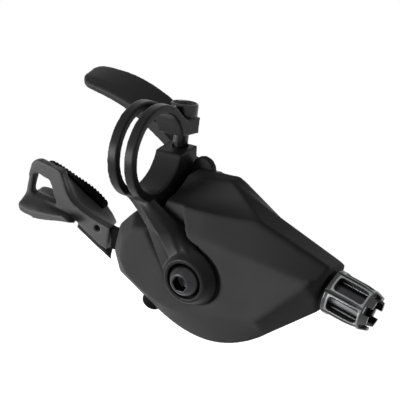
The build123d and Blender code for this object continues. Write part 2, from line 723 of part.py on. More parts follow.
# Cable spool: hold ratchet, grooved drum and drive ratchet in one piece
with BuildPart() as cable_spool:
    for far, thickness in ((DRUM_NEAR, RATCHET_T), (SPOOL_FAR, RATCHET_T)):
        with BuildSketch(depth(far)):
            with BuildLine():
                Polyline(*ratchet_points(), close=True)
            make_face()
        extrude(amount=thickness)
    with BuildSketch(depth(DRUM_FAR)):
        with Locations((AXLE_X, AXLE_Z)):
            Circle(DRUM_R)
    extrude(amount=DRUM_T)
    with BuildSketch(Plane(origin=(AXLE_X, CABLE_Y, AXLE_Z), x_dir=(1, 0, 0), z_dir=(0, 0, 1))):
        with Locations((CABLE_R, 0)):
            Circle(CABLE_GROOVE_R)
        with Locations((DRUM_R, 0)):
            Rectangle(2 * (DRUM_R - CABLE_R), 2 * CABLE_GROOVE_R)
    revolve(axis=axle_axis, mode=Mode.SUBTRACT)
    with BuildSketch(depth(SPOOL_NEAR + SPOOL_CUP_DEPTH)):
        with Locations((AXLE_X, AXLE_Z)):
            Circle(SPOOL_CUP_R)
    extrude(amount=SPOOL_CUP_DEPTH, mode=Mode.SUBTRACT)
    with BuildSketch(depth(SPOOL_FAR)):
        with Locations((AXLE_X, AXLE_Z)):
            Circle(AXLE_R + RUN_FIT)
    extrude(amount=SPOOL_FAR - SPOOL_NEAR, mode=Mode.SUBTRACT)
cable_spool.part.label = "cable_spool"


def pawl(pin_angle, tip_angle, near):
    """Pawl with an eye on its pin and a tip that stands in a ratchet tooth."""
    eye = on_axle(PAWL_ARM_R, pin_angle)
    tip = tip_angle - PAWL_TIP_EASE
    with BuildPart() as part:
        with BuildSketch(depth(near + RATCHET_T)):
            with BuildLine():
                Polyline(
                    on_axle(TOOTH_ROOT_R + PAWL_TIP_GAP, tip),
                    on_axle(TOOTH_TIP_R + 1.2, tip),
                    on_axle(PAWL_ARM_R + PAWL_EYE_R, pin_angle + 1),
                    on_axle(PAWL_ARM_R - PAWL_EYE_R, pin_angle + 1),
                    on_axle(TOOTH_TIP_R + 0.9, tip - 1.2 * TOOTH_PITCH),
                    close=True,
                )
            make_face()
            with Locations(eye):
                Circle(PAWL_EYE_R)
                Circle(PAWL_PIN_R + RUN_FIT, mode=Mode.SUBTRACT)
        extrude(amount=RATCHET_T)
    return part


def pin(spot, near, far):
    """Plain pin along Y."""
    with BuildPart() as part:
        with BuildSketch(depth(far)):
            with Locations(spot):
                Circle(PAWL_PIN_R)
        extrude(amount=far - near)
    return part


hold_pawl = pawl(HOLD_PIN_ANGLE, HOLD_TIP_ANGLE, SPOOL_NEAR)
hold_pawl.part.label = "hold_pawl"
hold_pawl_pin = pin(hold_pin_spot, BASE_NEAR, DRUM_NEAR + SEAT_GAP)
hold_pawl_pin.part.label = "hold_pawl_pin"
drive_pawl = pawl(DRIVE_PIN_ANGLE, DRIVE_TIP_ANGLE, DRUM_FAR)
drive_pawl.part.label = "drive_pawl"
drive_pawl_pin = pin(drive_pin_spot, COIL_NEAR - SEAT_GAP, DRIVE_FAR)
drive_pawl_pin.part.label = "drive_pawl_pin"


def flat_spiral(inner_r, outer_r, near, far):
    """Flat spiral spring round the axle, made of half circles, in the room between two radii."""
    start = inner_r + SEAT_GAP + SPRING_WIRE / 2
    pitch = (outer_r - SEAT_GAP - SPRING_WIRE / 2 - start) / SPRING_TURNS
    with BuildPart() as part:
        with BuildSketch(depth(far)):
            with BuildLine():
                radius = start
                for _ in range(SPRING_TURNS):
                    ThreePointArc(
                        (AXLE_X + radius, AXLE_Z), (AXLE_X, AXLE_Z + radius), (AXLE_X - radius, AXLE_Z)
                    )
                    middle = AXLE_X + pitch / 2
                    ThreePointArc(
                        (AXLE_X - radius, AXLE_Z),
                        (middle, AXLE_Z - radius - pitch / 2),
                        (AXLE_X + radius + pitch, AXLE_Z),
                    )
                    radius += pitch
            trace(line_width=SPRING_WIRE)
        extrude(amount=far - near)
    return part


spool_spring = flat_spiral(
    COLLAR_R, SPOOL_CUP_R, SPOOL_NEAR + SEAT_GAP, SPOOL_NEAR + SPOOL_CUP_DEPTH - SEAT_GAP
)
spool_spring.part.label = "spool_spring"
main_lever_spring = flat_spiral(BUSH_R, DRUM_R, LEVER_SPRING_NEAR, LEVER_SPRING_NEAR + LEVER_SPRING_W)
main_lever_spring.part.label = "main_lever_spring"


def torsion_spring(pin_angle, near):
    """Torsion spring coiled round a pawl pin, one leg along the pawl and one the other way."""
    eye = on_axle(PAWL_ARM_R, pin_angle)
    with BuildPart() as part:
        with BuildSketch(depth(near + COIL_W)):
            with BuildLine():
                Polyline(
                    on_axle(PAWL_ARM_R - SPRING_WIRE, pin_angle + LEG_SPREAD), eye,
                    on_axle(PAWL_ARM_R - SPRING_WIRE, pin_angle - LEG_SWING),
                )
            trace(line_width=SPRING_WIRE)
            with Locations(eye):
                Circle(COIL_R)
                Circle(PAWL_PIN_R + RUN_FIT, mode=Mode.SUBTRACT)
        extrude(amount=COIL_W)
    return part


hold_pawl_spring = torsion_spring(HOLD_PIN_ANGLE, SPOOL_NEAR - COIL_W - RUN_FIT)
hold_pawl_spring.part.label = "hold_pawl_spring"
drive_pawl_spring = torsion_spring(DRIVE_PIN_ANGLE, DRUM_FAR - COIL_W - RUN_FIT)
drive_pawl_spring.part.label = "drive_pawl_spring"

# Centring spring of the release lever: a hairpin round the cover's peg, one leg each side of the tail
hairpin_r = PEG_R + SEAT_GAP + SPRING_WIRE / 2
hairpin_x = AXLE_X + RELEASE_HUB_R + 2 * SEAT_GAP
with BuildPart() as release_spring:
    with BuildSketch(depth(TONGUE_FAR - SEAT_GAP)):
        with BuildLine():
            Line((hairpin_x, AXLE_Z + hairpin_r), (PEG_X, AXLE_Z + hairpin_r))
            ThreePointArc(
                (PEG_X, AXLE_Z + hairpin_r), (PEG_X + hairpin_r, AXLE_Z), (PEG_X, AXLE_Z - hairpin_r)
            )
            Line((PEG_X, AXLE_Z - hairpin_r), (hairpin_x, AXLE_Z - hairpin_r))
        trace(line_width=SPRING_WIRE)
    extrude(amount=TONGUE_T - 2 * SEAT_GAP)
release_spring.part.label = "release_spring"

# Drive plate, keyed to the main lever's sleeve
with BuildPart() as drive_plate:
    with BuildSketch(depth(DRIVE_FAR)):
        with Locations((AXLE_X, AXLE_Z)):
            Circle(LEVER_HUB_R)
        with Locations(drive_pin_spot):
            Circle(PAWL_EYE_R)
        with BuildLine():
            Polyline(
                on_axle(LEVER_HUB_R, DRIVE_PIN_ANGLE - 64), on_axle(PAWL_ARM_R, DRIVE_PIN_ANGLE - 10),
                on_axle(PAWL_ARM_R, DRIVE_PIN_ANGLE + 10), on_axle(LEVER_HUB_R, DRIVE_PIN_ANGLE + 64),
                (AXLE_X, AXLE_Z), close=True,
            )
        make_face()
    extrude(amount=DRIVE_T)
    with BuildSketch(depth(DRIVE_FAR)):
        with Locations((AXLE_X, AXLE_Z)):
            add(sleeve_key(SCREW_FIT))
        with Locations(drive_pin_spot):
            Circle(PAWL_PIN_R + SCREW_FIT)
    extrude(amount=DRIVE_T, mode=Mode.SUBTRACT)
drive_plate.part.label = "drive_plate"

# Main lever: paddle, plate and sleeve forged as one
paddle_near_low = [(-36.4, 4.6), (-27.8, 2.8), (-20.8, 0.5), (-13.1, -3.8), (-9.2, -6.6)]
paddle_near_top = [(-7.4, -3.6), (-10.9, -0.9), (-19.3, 2.6), (-29.5, 5.3), (-36.6, 6.4)]
paddle_crest_low = [(-37.0, 4.7), (-28.0, 3.3), (-20.8, 1.3), (-13.5, -2.6), (-9.8, -5.0)]
paddle_crest_top = [(-8.2, -2.4), (-11.6, 0.2), (-20.0, 3.9), (-29.2, 6.3), (-37.4, 6.9)]
paddle_far_low = [(-38.0, 4.8), (-28.6, 4.7), (-20.6, 3.4), (-14.6, 1.2), (-11.6, -0.6)]
paddle_far_top = [(-9.6, 0.8), (-16.4, 4.3), (-23.2, 6.5), (-30.1, 7.4), (-38.2, 7.0)]


def strip_outline(low, top):
    """Closed outline between a lower and an upper curve."""
    with BuildSketch(Plane.XY) as sketch:
        with BuildLine():
            Spline(*low)
            Line(low[-1], top[0])
            Spline(*top)
            Line(top[-1], low[0])
        make_face()
    return sketch.sketch


with BuildPart() as main_lever:
    for y, low, top in (
        (LEVER_NEAR, paddle_near_low, paddle_near_top),
        (PADDLE_CREST, paddle_crest_low, paddle_crest_top),
        (PADDLE_FAR, paddle_far_low, paddle_far_top),
    ):
        with BuildSketch(depth(y)):
            add(strip_outline(low, top))
    loft(ruled=True)
    # Round the paddle's corners, seen from above
    with BuildSketch(Plane.XY.offset(-10)):
        with BuildLine():
            Polyline(
                (paddle_near_low[0][0], LEVER_NEAR), (0, LEVER_NEAR), (0, PADDLE_FAR),
                (paddle_far_low[0][0], PADDLE_FAR), close=True,
            )
        make_face()
        fillet(vertices().group_by(Axis.Y)[-1].sort_by(Axis.X)[0], FAR_TIP_ROUND)
        fillet(vertices().group_by(Axis.Y)[0].sort_by(Axis.X)[0], NEAR_TIP_ROUND)
    extrude(amount=30, mode=Mode.INTERSECT)
    with BuildSketch(depth(LEVER_FAR)):
        with BuildLine():
            Spline((-15.0, -2.7), (-9.2, -6.6), (0.0, -15.0), (10.4, -33.0))
            Line((10.4, -33.0), (AXLE_X, AXLE_Z))
            Line((AXLE_X, AXLE_Z), (24.0, -22.4))
            Spline((24.0, -22.4), (8.0, -12.4), (-5.9, -5.1), (-10.9, -0.9), (-14.0, 0.7))
            Line((-14.0, 0.7), (-15.0, -2.7))
        make_face()
        with Locations((AXLE_X, AXLE_Z)):
            Circle(LEVER_HUB_R)
    extrude(amount=LEVER_T)
    with BuildSketch(depth(LEVER_NEAR)):
        with Locations((AXLE_X, AXLE_Z)):
            Circle(SLEEVE_R)
    extrude(amount=LEVER_NEAR - DRIVE_FAR)
    with BuildSketch(depth(DRIVE_FAR)):
        with Locations((AXLE_X, AXLE_Z)):
            add(sleeve_key(0))
    extrude(amount=DRIVE_T)
    with BuildSketch(depth(LEVER_FAR)):
        with Locations((AXLE_X, AXLE_Z)):
            Circle(AXLE_R + RUN_FIT)
    extrude(amount=LEVER_FAR - DRIVE_NEAR, mode=Mode.SUBTRACT)
main_lever.part.label = "main_lever"

# Bush pressed into the far cover: the main lever's sleeve turns in it, the release lever round it
with BuildPart() as lever_bush:
    with BuildSketch(depth(COVER_FAR)):
        with Locations((AXLE_X, AXLE_Z)):
            Circle(BUSH_R)
    extrude(amount=COVER_FAR - BUSH_NEAR)
    with BuildSketch(depth(LEVER_NEAR - SEAT_GAP)):
        with Locations((AXLE_X, AXLE_Z)):
            Circle(BUSH_R + BUSH_T)
    extrude(amount=LEVER_NEAR - SEAT_GAP - COVER_FAR)
    with BuildSketch(depth(LEVER_NEAR)):
        with Locations((AXLE_X, AXLE_Z)):
            Circle(SLEEVE_R + RUN_FIT)
    extrude(amount=LEVER_NEAR - BUSH_NEAR, mode=Mode.SUBTRACT)
lever_bush.part.label = "lever_bush"

# Release lever: frame plate with a window, dished thumb face, finger wing and the tongue to its hub
frame_outline = [
    (-48.5, -27.6), (-47.5, -23.1), (-46.6, -19.7), (-46.0, -17.4), (-44.7, -15.8), (-43.2, -15.0),
    (-40.2, -15.1), (-35.4, -17.9), (-34.9, -20.1), (-34.0, -23.0), (-32.3, -25.7), (-30.6, -27.2),
    (-27.1, -28.9), (-23.7, -30.2), (-18.8, -31.3), (-20.0, -38.8), (-29.8, -32.4), (-32.0, -31.4),
    (-40.0, -30.8),
]
window_outline = [
    (-46.4, -27.0), (-45.7, -24.4), (-45.2, -20.9), (-44.2, -20.2), (-39.8, -21.2), (-38.9, -22.8),
    (-38.3, -25.6), (-37.0, -28.4), (-41.2, -27.9),
]
thumb_near_top = [
    (-44.6, -15.9), (-40.2, -15.1), (-35.4, -18.0), (-32.4, -25.6), (-27.1, -28.9), (-20.0, -31.2),
]
thumb_near_low = [
    (-20.6, -33.6), (-28.2, -31.4), (-34.6, -27.0), (-37.4, -20.2), (-40.8, -17.7), (-44.4, -18.4),
]
thumb_mid_top = [
    (-46.2, -19.2), (-42.0, -20.0), (-36.8, -23.0), (-32.8, -27.2), (-28.2, -29.8), (-21.8, -33.4),
]
thumb_mid_low = [
    (-23.0, -35.6), (-28.8, -32.4), (-33.8, -29.8), (-38.0, -25.6), (-42.4, -22.4), (-45.8, -21.6),
]
thumb_far_top = [
    (-47.4, -21.6), (-43.4, -22.3), (-37.4, -24.5), (-32.6, -26.3), (-28.8, -28.5), (-23.6, -34.9),
]
thumb_far_low = [
    (-25.4, -36.4), (-30.2, -30.8), (-33.8, -28.6), (-38.2, -26.7), (-43.8, -24.7), (-46.8, -24.0),
]
wing_near_top = [(-47.6, -28.0), (-43.6, -29.2), (-38.0, -29.3), (-31.4, -28.6)]
wing_near_low = [(-28.6, -30.2), (-36.0, -31.3), (-43.0, -32.0), (-47.4, -31.0)]
wing_mid_top = [(-48.6, -27.4), (-44.0, -27.8), (-38.6, -28.8), (-31.8, -30.6)]
wing_mid_low = [(-30.8, -32.8), (-37.6, -31.9), (-44.0, -31.4), (-48.4, -30.4)]
wing_far_top = [(-48.0, -28.4), (-44.0, -28.4), (-38.6, -29.2), (-33.0, -31.0)]
wing_far_low = [(-33.4, -32.6), (-38.6, -31.2), (-44.0, -30.8), (-47.6, -30.4)]

arm_near = [(-18.8, -31.3), (-20.0, -38.8), (-29.8, -32.4), (-27.1, -28.9)]
arm_far = [(-18.4, -32.4), (-20.2, -43.6), (-32.6, -35.6), (-28.8, -30.4)]

with BuildPart() as release_lever:
    with BuildSketch(depth(RELEASE_NEAR + RELEASE_T)):
        with BuildLine():
            Polyline(*frame_outline, close=True)
        make_face()
        with BuildLine():
            Polyline(*window_outline, close=True)
        make_face(mode=Mode.SUBTRACT)
    extrude(amount=RELEASE_T)
    for y, top, low in (
        (THUMB_NEAR, thumb_near_top, thumb_near_low),
        (THUMB_MID, thumb_mid_top, thumb_mid_low),
        (THUMB_FAR, thumb_far_top, thumb_far_low),
    ):
        with BuildSketch(depth(y)):
            add(strip_outline(top, low))
    loft(ruled=True)
    for y, top, low in (
        (WING_NEAR, wing_near_top, wing_near_low),
        (RELEASE_NEAR, wing_mid_top, wing_mid_low),
        (WING_FAR, wing_far_top, wing_far_low),
    ):
        with BuildSketch(depth(y)):
            add(strip_outline(top, low))
    loft(ruled=True)
    # Arm, deeper and lower on its far side
    for y, outline in ((RELEASE_NEAR, arm_near), (RELEASE_NEAR + RELEASE_T, arm_far)):
        with BuildSketch(depth(y)):
            with BuildLine():
                Polyline(*outline, close=True)
            make_face()
    loft(ruled=True)
    # Tongue and hub inside the case, with a tail for the centring spring
    with BuildSketch(depth(TONGUE_FAR)):
        with BuildLine():
            Polyline(
                (-20.0, -31.8), (-16.0, -31.6), (AXLE_X, AXLE_Z + 3.6), (AXLE_X, AXLE_Z - 3.6),
                (-16.0, -38.6), (-21.6, -38.4), (-24.0, -35.4), close=True,
            )
        make_face()
        with Locations((AXLE_X, AXLE_Z)):
            Circle(RELEASE_HUB_R)
        with Locations(((AXLE_X + TAIL_X) / 2, AXLE_Z)):
            Rectangle(TAIL_X - AXLE_X, 2 * PEG_R)
        with Locations((AXLE_X, AXLE_Z)):
            Circle(BUSH_R + RUN_FIT, mode=Mode.SUBTRACT)
    extrude(amount=TONGUE_T)
    with BuildSketch(depth(RELEASE_NEAR + 2)):
        with Locations((-23.1, -32.5)):
            Circle(ARM_HOLE_R)
    extrude(amount=4, mode=Mode.SUBTRACT)
release_lever.part.label = "release_lever"


def ribbed(share):
    """Closed outline with ribs along the thumb face, a share of the way across its far half."""
    mid_curve = Spline(*thumb_mid_top)
    far_curve = Spline(*thumb_far_top)
    outline = []
    foot = []
    for step in range(2 * RIB_COUNT + 1):
        along = PAD_START + (PAD_END - PAD_START) * step / (2 * RIB_COUNT)
        spot = mid_curve @ along + (far_curve @ along - mid_curve @ along) * share
        outline.append((spot.X, spot.Y + (PAD_T if step % 2 else PAD_T * 0.6)))
        foot.append((spot.X, spot.Y - PAD_T))
    return outline + foot[::-4]


# Ribbed rubber pad on the far part of the thumb face
pad_near_outline = ribbed((PAD_NEAR - THUMB_MID) / (THUMB_FAR - THUMB_MID))
pad_far_outline = ribbed(1)
with BuildPart() as release_pad:
    for y, outline in ((PAD_NEAR, pad_near_outline), (THUMB_FAR, pad_far_outline)):
        with BuildSketch(depth(y)):
            with BuildLine():
                Polyline(*outline, close=True)
            make_face()
    loft(ruled=True)
    add(release_lever.part, mode=Mode.SUBTRACT)
release_pad.part.label = "release_pad"

# Washer and nut on the axle's far end
with BuildPart() as axle_washer:
    with BuildSketch(depth(NUT_NEAR)):
        with Locations((AXLE_X, AXLE_Z)):
            Circle(NUT_AF * 0.62)
            Circle(AXLE_END_R + SCREW_FIT, mode=Mode.SUBTRACT)
    extrude(amount=WASHER_T)
axle_washer.part.label = "axle_washer"
with BuildPart() as axle_nut:
    with BuildSketch(depth(AXLE_FAR)):
        with Locations((AXLE_X, AXLE_Z)):
            RegularPolygon(NUT_AF / 2, 6, major_radius=False)
            Circle(AXLE_END_R + SCREW_FIT, mode=Mode.SUBTRACT)
    extrude(amount=NUT_T)
    chamfer(faces().sort_by(Axis.Y)[-1].outer_wire().edges(), 0.5)
axle_nut.part.label = "axle_nut"

# Cable adjuster: core with the housing socket, and the barrel that turns round it
with BuildPart() as adjuster_core:
    with BuildSketch(adjuster_plane(-CORE_SEAT)):
        Circle(CORE_R)
    extrude(amount=CORE_SEAT + ADJUSTER_LENGTH - NOTCH_DEPTH)
    with BuildSketch(adjuster_plane(ADJUSTER_LENGTH)):
        Circle(HOUSING_R)
    extrude(amount=-HOUSING_DEPTH, mode=Mode.SUBTRACT)
    with BuildSketch(adjuster_plane(ADJUSTER_LENGTH)):
        Circle(CABLE_HOLE_R)
    extrude(amount=-ADJUSTER_LENGTH - CORE_SEAT, mode=Mode.SUBTRACT)
adjuster_core.part.label = "adjuster_core"

with BuildPart() as adjuster_barrel:
    with BuildSketch(adjuster_section):
        with BuildLine():
            Polyline(
                (ADJUSTER_LENGTH, BARREL_TIP_R), (ADJUSTER_LENGTH, CORE_R + RUN_FIT), (0, CORE_R + RUN_FIT),
                (0, BARREL_R - 0.4), (0.4, BARREL_R), (ADJUSTER_LENGTH / 2, BARREL_R),
            )
            TangentArc(
                (ADJUSTER_LENGTH / 2, BARREL_R), (ADJUSTER_LENGTH, BARREL_TIP_R), tangent=(1, 0),
            )
        make_face()
    revolve(axis=adjuster_axis)
    with Locations(adjuster_plane((WINDOW_FROM + WINDOW_TO) / 2)):
        with PolarLocations(BARREL_R, WINDOW_COUNT):
            Box(2 * (BARREL_R - CORE_R) + 1, WINDOW_W, WINDOW_TO - WINDOW_FROM, mode=Mode.SUBTRACT)
    with Locations(adjuster_plane(ADJUSTER_LENGTH)):
        with PolarLocations(BARREL_TIP_R, WINDOW_COUNT, start_angle=180 / WINDOW_COUNT):
            Box(BARREL_TIP_R, NOTCH_W, 2 * NOTCH_DEPTH, mode=Mode.SUBTRACT)
adjuster_barrel.part.label = "adjuster_barrel"

# Seal between the nose and the barrel
with BuildPart() as adjuster_seal:
    with BuildSketch(adjuster_plane(-NOSE_GAP)):
        Circle(CORE_R + SEAT_GAP + SEAL_W)
        Circle(CORE_R + SEAT_GAP, mode=Mode.SUBTRACT)
    extrude(amount=NOSE_GAP - SEAT_GAP)
adjuster_seal.part.label = "adjuster_seal"

os.makedirs("parts", exist_ok=True)
pieces = (
    clamp_bracket, clamp_bolt, bracket_screw, main_case, far_cover, cover_screws, cable_port_plug,
    lever_axle, base_plate, base_screws, cable_spool, spool_spring, hold_pawl, hold_pawl_pin,
    hold_pawl_spring, drive_plate, drive_pawl, drive_pawl_pin, drive_pawl_spring, main_lever,
    main_lever_spring, lever_bush, axle_washer, axle_nut, release_lever, release_pad, release_spring,
    adjuster_core, adjuster_barrel, adjuster_seal,
)
for piece in pieces:
    export_step(piece.part, f"parts/{piece.part.label}.step")
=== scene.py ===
"""Looks of the trigger gear shifter: finishes, softened castings, studio and camera.

Lengths in the classes are millimetres and angles are degrees. They are turned to metres and radians
where a mesh, a lamp or the camera is made.
"""
import json
import logging
from collections.abc import Callable, Iterable
from dataclasses import dataclass
from enum import Enum
from math import atan2, cos, degrees, radians, sin

import bmesh
import bpy
from mathutils import Euler, Matrix, Vector


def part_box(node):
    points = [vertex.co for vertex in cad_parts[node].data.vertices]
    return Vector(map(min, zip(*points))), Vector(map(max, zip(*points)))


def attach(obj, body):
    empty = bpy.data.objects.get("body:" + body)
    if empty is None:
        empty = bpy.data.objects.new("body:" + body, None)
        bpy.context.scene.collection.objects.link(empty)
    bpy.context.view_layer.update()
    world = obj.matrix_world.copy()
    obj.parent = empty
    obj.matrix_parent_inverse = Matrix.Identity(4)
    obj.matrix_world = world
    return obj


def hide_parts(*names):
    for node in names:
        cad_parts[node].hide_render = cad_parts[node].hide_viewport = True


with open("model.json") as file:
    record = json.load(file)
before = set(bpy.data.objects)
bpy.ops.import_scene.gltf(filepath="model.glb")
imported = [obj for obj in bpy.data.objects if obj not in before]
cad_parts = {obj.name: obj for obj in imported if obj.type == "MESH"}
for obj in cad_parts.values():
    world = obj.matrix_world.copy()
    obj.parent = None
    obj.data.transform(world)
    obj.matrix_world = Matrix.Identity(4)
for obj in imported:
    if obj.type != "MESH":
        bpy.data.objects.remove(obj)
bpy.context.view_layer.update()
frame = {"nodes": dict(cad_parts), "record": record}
MM = 0.001
FULL_TURN = 360.0
# Points of a CAD node that are closer than this are one point
MERGE_DISTANCE = 0.002
# Turn of the remeshing grid, so that no long edge lies nearly along it and comes out stepped
GRID_TURN = Euler((0.5, 0.6, 0.7)).to_matrix().to_4x4()
# Share of the way to its neighbours' middle that a point moves in one round of smoothing
SMOOTH_STEP = 0.5
log = logging.getLogger("shifter")

Colour = tuple[float, float, float]
Point = tuple[float, float, float]
FaceTest = Callable[[bpy.types.MeshPolygon], bool]


def slot_of(node: str) -> str:
    """Look up a node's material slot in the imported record.

    Args:
        node: CAD node's name.

    Returns:
        The slot's name.
    """
    return next(part["material_slot"] for part in frame["record"]["subparts"] if part["node"] == node)


def body_of(node: str) -> str:
    """Look up the body that carries a node.

    Args:
        node: CAD node's name.

    Returns:
        The body's name.
    """
    bodies = frame["record"]["behaviour"]["bodies"]
    return next(body for body, members in bodies.items() if node in members)


def joint_line(name: str) -> tuple[Vector, Vector]:
    """Look up the line that a hinge turns about.

    Args:
        name: The joint's name.

    Returns:
        A point on the line, in metres, and the line's direction.
    """
    joint = next(row for row in frame["record"]["behaviour"]["joints"] if row["name"] == name)
    return Vector(joint["pos_m"]), Vector(joint["axis"]).normalized()


class Texture(Enum):
    """Surface relief of a finish."""

    GRAIN = "fine even grain of satin paint or moulded plastic"
    TURNED = "rings left by a lathe"
    BRUSHED = "long fine scratches"


@dataclass(frozen=True)
class Finish:
    """A finish as a procedural material.

    Attributes:
        slot: The record's material slot.
        colour: Base colour, linear.
        roughness: Middle roughness.
        metallic: 1 for bare metal.
        specular: Specular level of the shader.
        texture: Kind of relief.
        grain: Size of the relief.
        depth: Height of the relief.
        patch: Size of the soft patches in tone.
        unevenness: How far the patches change tone and roughness.
        axis: Direction of the lathe's axis or of the scratches.
        grain_detail: Finer layers of noise in the relief.
        patch_detail: Finer layers of noise in the patches.
        squeeze: Scale of the relief along its rings or scratches, which draws it out.
    """

    slot: str
    colour: Colour
    roughness: float
    metallic: float = 0.0
    specular: float = 0.5
    texture: Texture = Texture.GRAIN
    grain: float = 0.22
    depth: float = 0.012
    patch: float = 9.0
    unevenness: float = 0.12
    axis: Point = (0.0, 1.0, 0.0)
    grain_detail: float = 2.0
    patch_detail: float = 3.0
    squeeze: float = 0.02

    def shade(self, factor: float) -> tuple[float, float, float, float]:
        """Give the colour, made lighter or darker by a factor, with full alpha."""
        return (*(channel * factor for channel in self.colour), 1.0)

    def material(self) -> bpy.types.Material:
        """Build the material.

        Returns:
            The material, with colour, roughness and relief from noise on Object coordinates.
        """
        made = bpy.data.materials.new(self.slot)
        made.use_nodes = True
        made.diffuse_color = self.shade(1.0)
        shader = made.node_tree.nodes["Principled BSDF"]
        shader.inputs["Metallic"].default_value = self.metallic
        shader.inputs["Specular IOR Level"].default_value = self.specular
        place = made.node_tree.nodes.new("ShaderNodeTexCoord").outputs["Object"]
        self._mottle(made.node_tree, place, shader)
        self._emboss(made.node_tree, place, shader)
        return made

    def _mottle(self, tree: bpy.types.NodeTree, place: bpy.types.NodeSocket, shader: bpy.types.Node) -> None:
        """Let soft patches change the tone and the roughness a little.

        Args:
            tree: The material's nodes.
            place: Socket with the coordinates.
            shader: The material's shader.
        """
        patches = tree.nodes.new("ShaderNodeTexNoise")
        patches.inputs["Scale"].default_value = 1 / (self.patch * MM)
        patches.inputs["Detail"].default_value = self.patch_detail
        tree.links.new(place, patches.inputs["Vector"])

        tone = tree.nodes.new("ShaderNodeMix")
        tone.data_type = "RGBA"
        tone.inputs["A"].default_value = self.shade(1 - self.unevenness)
        tone.inputs["B"].default_value = self.shade(1 + self.unevenness)
        tree.links.new(patches.outputs["Fac"], tone.inputs["Factor"])
        tree.links.new(tone.outputs["Result"], shader.inputs["Base Color"])

        sheen = tree.nodes.new("ShaderNodeMapRange")
        sheen.inputs["To Min"].default_value = self.roughness * (1 - self.unevenness)
        sheen.inputs["To Max"].default_value = self.roughness * (1 + self.unevenness)
        tree.links.new(patches.outputs["Fac"], sheen.inputs["Value"])
        tree.links.new(sheen.outputs["Result"], shader.inputs["Roughness"])

    def _emboss(self, tree: bpy.types.NodeTree, place: bpy.types.NodeSocket, shader: bpy.types.Node) -> None:
        """Give the surface its fine relief.

        Args:
            tree: The material's nodes.
            place: Socket with the coordinates.
            shader: The material's shader.
        """
        relief = tree.nodes.new("ShaderNodeTexNoise")
        relief.inputs["Scale"].default_value = 1 / (self.grain * MM)
        relief.inputs["Detail"].default_value = self.grain_detail
        tree.links.new(self._stretched(tree, place), relief.inputs["Vector"])
        bump = tree.nodes.new("ShaderNodeBump")
        bump.inputs["Strength"].default_value = 1.0
        bump.inputs["Distance"].default_value = self.depth * MM
        tree.links.new(relief.outputs["Fac"], bump.inputs["Height"])
        tree.links.new(bump.outputs["Normal"], shader.inputs["Normal"])

    def _stretched(self, tree: bpy.types.NodeTree, place: bpy.types.NodeSocket) -> bpy.types.NodeSocket:
        """Turn and stretch the coordinates for the relief.

        Args:
            tree: The material's nodes.
            place: Socket with the coordinates.

        Returns:
            The socket to read the relief from.
        """
        if self.texture is Texture.GRAIN:
            return place
        turn = tree.nodes.new("ShaderNodeMapping")
        turn.vector_type = "POINT"
        upright = Vector(self.axis).rotation_difference(Vector((0.0, 0.0, 1.0)))
        turn.inputs["Rotation"].default_value = upright.to_euler()
        tree.links.new(place, turn.inputs["Vector"])
        stretch = tree.nodes.new("ShaderNodeMapping")
        along, across = (1.0, self.squeeze) if self.texture is Texture.TURNED else (self.squeeze, 1.0)
        stretch.inputs["Scale"].default_value = (across, across, along)
        tree.links.new(turn.outputs["Vector"], stretch.inputs["Vector"])
        return stretch.outputs["Vector"]


ADJUSTER_NOSE, ADJUSTER_AXIS = joint_line("adjuster_turn")

FINISHES = {
    finish.slot: finish
    for finish in (
        Finish("case_paint", (0.054, 0.054, 0.055), 0.42, specular=0.004),
        Finish("bracket_paint", (0.018, 0.018, 0.0185), 0.33, specular=0.09),
        Finish("lever_paint", (0.04, 0.04, 0.041), 0.38, specular=0.06),
        Finish("release_plastic", (0.09, 0.09, 0.092), 0.4, specular=0.07),
        Finish("pad_rubber", (0.002, 0.002, 0.002), 0.7, specular=0.03, grain=0.35, depth=0.03),
        # seal_rubber also paints shade: on the bolt's socket, the release lever's tongue and lower flank,
        # the cage's inside and the core's end and bore.
        Finish("seal_rubber", (0.004, 0.004, 0.004), 0.65, specular=0.04, grain=0.35, depth=0.02),
        # dark_steel also covers the core off its painted highlight strip.
        Finish("dark_steel", (0.034, 0.034, 0.036), 0.32, 1.0, texture=Texture.TURNED, depth=0.004),
        Finish(
            "adjuster_metal",
            (0.06, 0.06, 0.062),
            roughness=0.25,
            metallic=0.4,
            specular=0.3,
            texture=Texture.TURNED,
            depth=0.002,
            axis=tuple(ADJUSTER_AXIS),
        ),
        # bright_metal also paints highlight rims round the cage's windows.
        Finish(
            "bright_metal",
            (0.22, 0.224, 0.228),
            roughness=0.38,
            metallic=1.0,
            texture=Texture.TURNED,
            depth=0.003,
            axis=tuple(ADJUSTER_AXIS),
        ),
        Finish(
            "works_steel",
            (0.34, 0.34, 0.345),
            roughness=0.38,
            metallic=1.0,
            texture=Texture.BRUSHED,
            depth=0.004,
            axis=(1.0, 0.0, 0.0),
        ),
        Finish("works_plastic", (0.6, 0.6, 0.58), 0.5),
    )
}


def merged(node: str) -> bmesh.types.BMesh:
    """Copy a CAD node's loose triangles into one joined mesh.

    Args:
        node: CAD node's name.

    Returns:
        A bmesh with its doubles merged.
    """
    mesh = bmesh.new()
    mesh.from_mesh(frame["nodes"][node].data)
    bmesh.ops.remove_doubles(mesh, verts=mesh.verts, dist=MERGE_DISTANCE * MM)
    return mesh


def stand_in(name: str, mesh: bmesh.types.BMesh) -> bpy.types.Object:
    """Put a bmesh into the scene as an object.

    Args:
        name: Name of the object.
        mesh: Its shape; it is freed.

    Returns:
        The object.
    """
    data = bpy.data.meshes.new(name)
    mesh.to_mesh(data)
    mesh.free()
    made = bpy.data.objects.new(name, data)
    bpy.context.scene.collection.objects.link(made)
    return made


